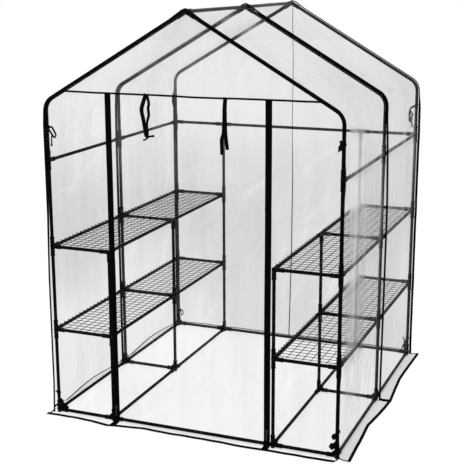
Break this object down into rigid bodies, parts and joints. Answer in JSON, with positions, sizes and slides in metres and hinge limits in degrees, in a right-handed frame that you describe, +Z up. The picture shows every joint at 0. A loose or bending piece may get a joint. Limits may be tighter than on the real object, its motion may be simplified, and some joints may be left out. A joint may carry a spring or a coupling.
{
  "type": "walk-in plastic greenhouse",
  "caption": "Walk-in greenhouse: gabled frame of plugged steel tubes with wire shelves along both sides, under a clear film cover with a zipped door, edge tapes and ground flaps.",
  "frame": {"origin": "centre of the plan on the floor", "axes": "+Z up, +X to the right seen from the door side, +Y from the door towards the rear wall"},
  "size_m": [1.552, 1.552, 1.9539],
  "materials": {
    "tube_steel": "dark powder-coated steel tube, satin",
    "black_plastic": "black moulded plastic, slightly rough",
    "shelf_wire": "grey-black coated welded wire",
    "clear_film": "clear, faintly grey film with soft creases",
    "black_tape": "black woven tape and zip"
  },
  "bodies": {
    "root": {"front_arch": "tube_steel", "middle_arch": "tube_steel", "rear_arch": "tube_steel", "ridge_tubes": "tube_steel", "outer_posts": "tube_steel", "inner_posts": "tube_steel", "ground_frame": "tube_steel", "lower_shelf_frame": "tube_steel", "upper_shelf_frame": "tube_steel", "side_rails": "tube_steel", "rear_rail": "tube_steel", "foot_connectors": "black_plastic", "lower_connectors": "black_plastic", "upper_connectors": "black_plastic", "rail_connectors": "black_plastic", "ridge_connectors": "black_plastic", "lower_left_front_shelf": "shelf_wire", "lower_left_rear_shelf": "shelf_wire", "lower_right_front_shelf": "shelf_wire", "lower_right_rear_shelf": "shelf_wire", "upper_left_front_shelf": "shelf_wire", "upper_left_rear_shelf": "shelf_wire", "upper_right_front_shelf": "shelf_wire", "upper_right_rear_shelf": "shelf_wire", "left_wall": "clear_film", "right_wall": "clear_film", "shoulders": "clear_film", "left_roof": "clear_film", "right_roof": "clear_film", "rear_wall": "clear_film", "front_gable": "clear_film", "front_left_panel": "clear_film", "front_right_panel": "clear_film", "door_panel": "clear_film", "door_zips": "black_tape", "door_seam": "black_tape", "front_binding": "black_tape", "middle_binding": "black_tape", "rear_binding": "black_tape", "rear_seam": "black_tape", "skirts": "clear_film", "skirt_hems": "black_tape", "corner_ties": "black_tape", "left_door_tie": "black_tape", "right_door_tie": "black_tape"}
  },
  "joints": []
}
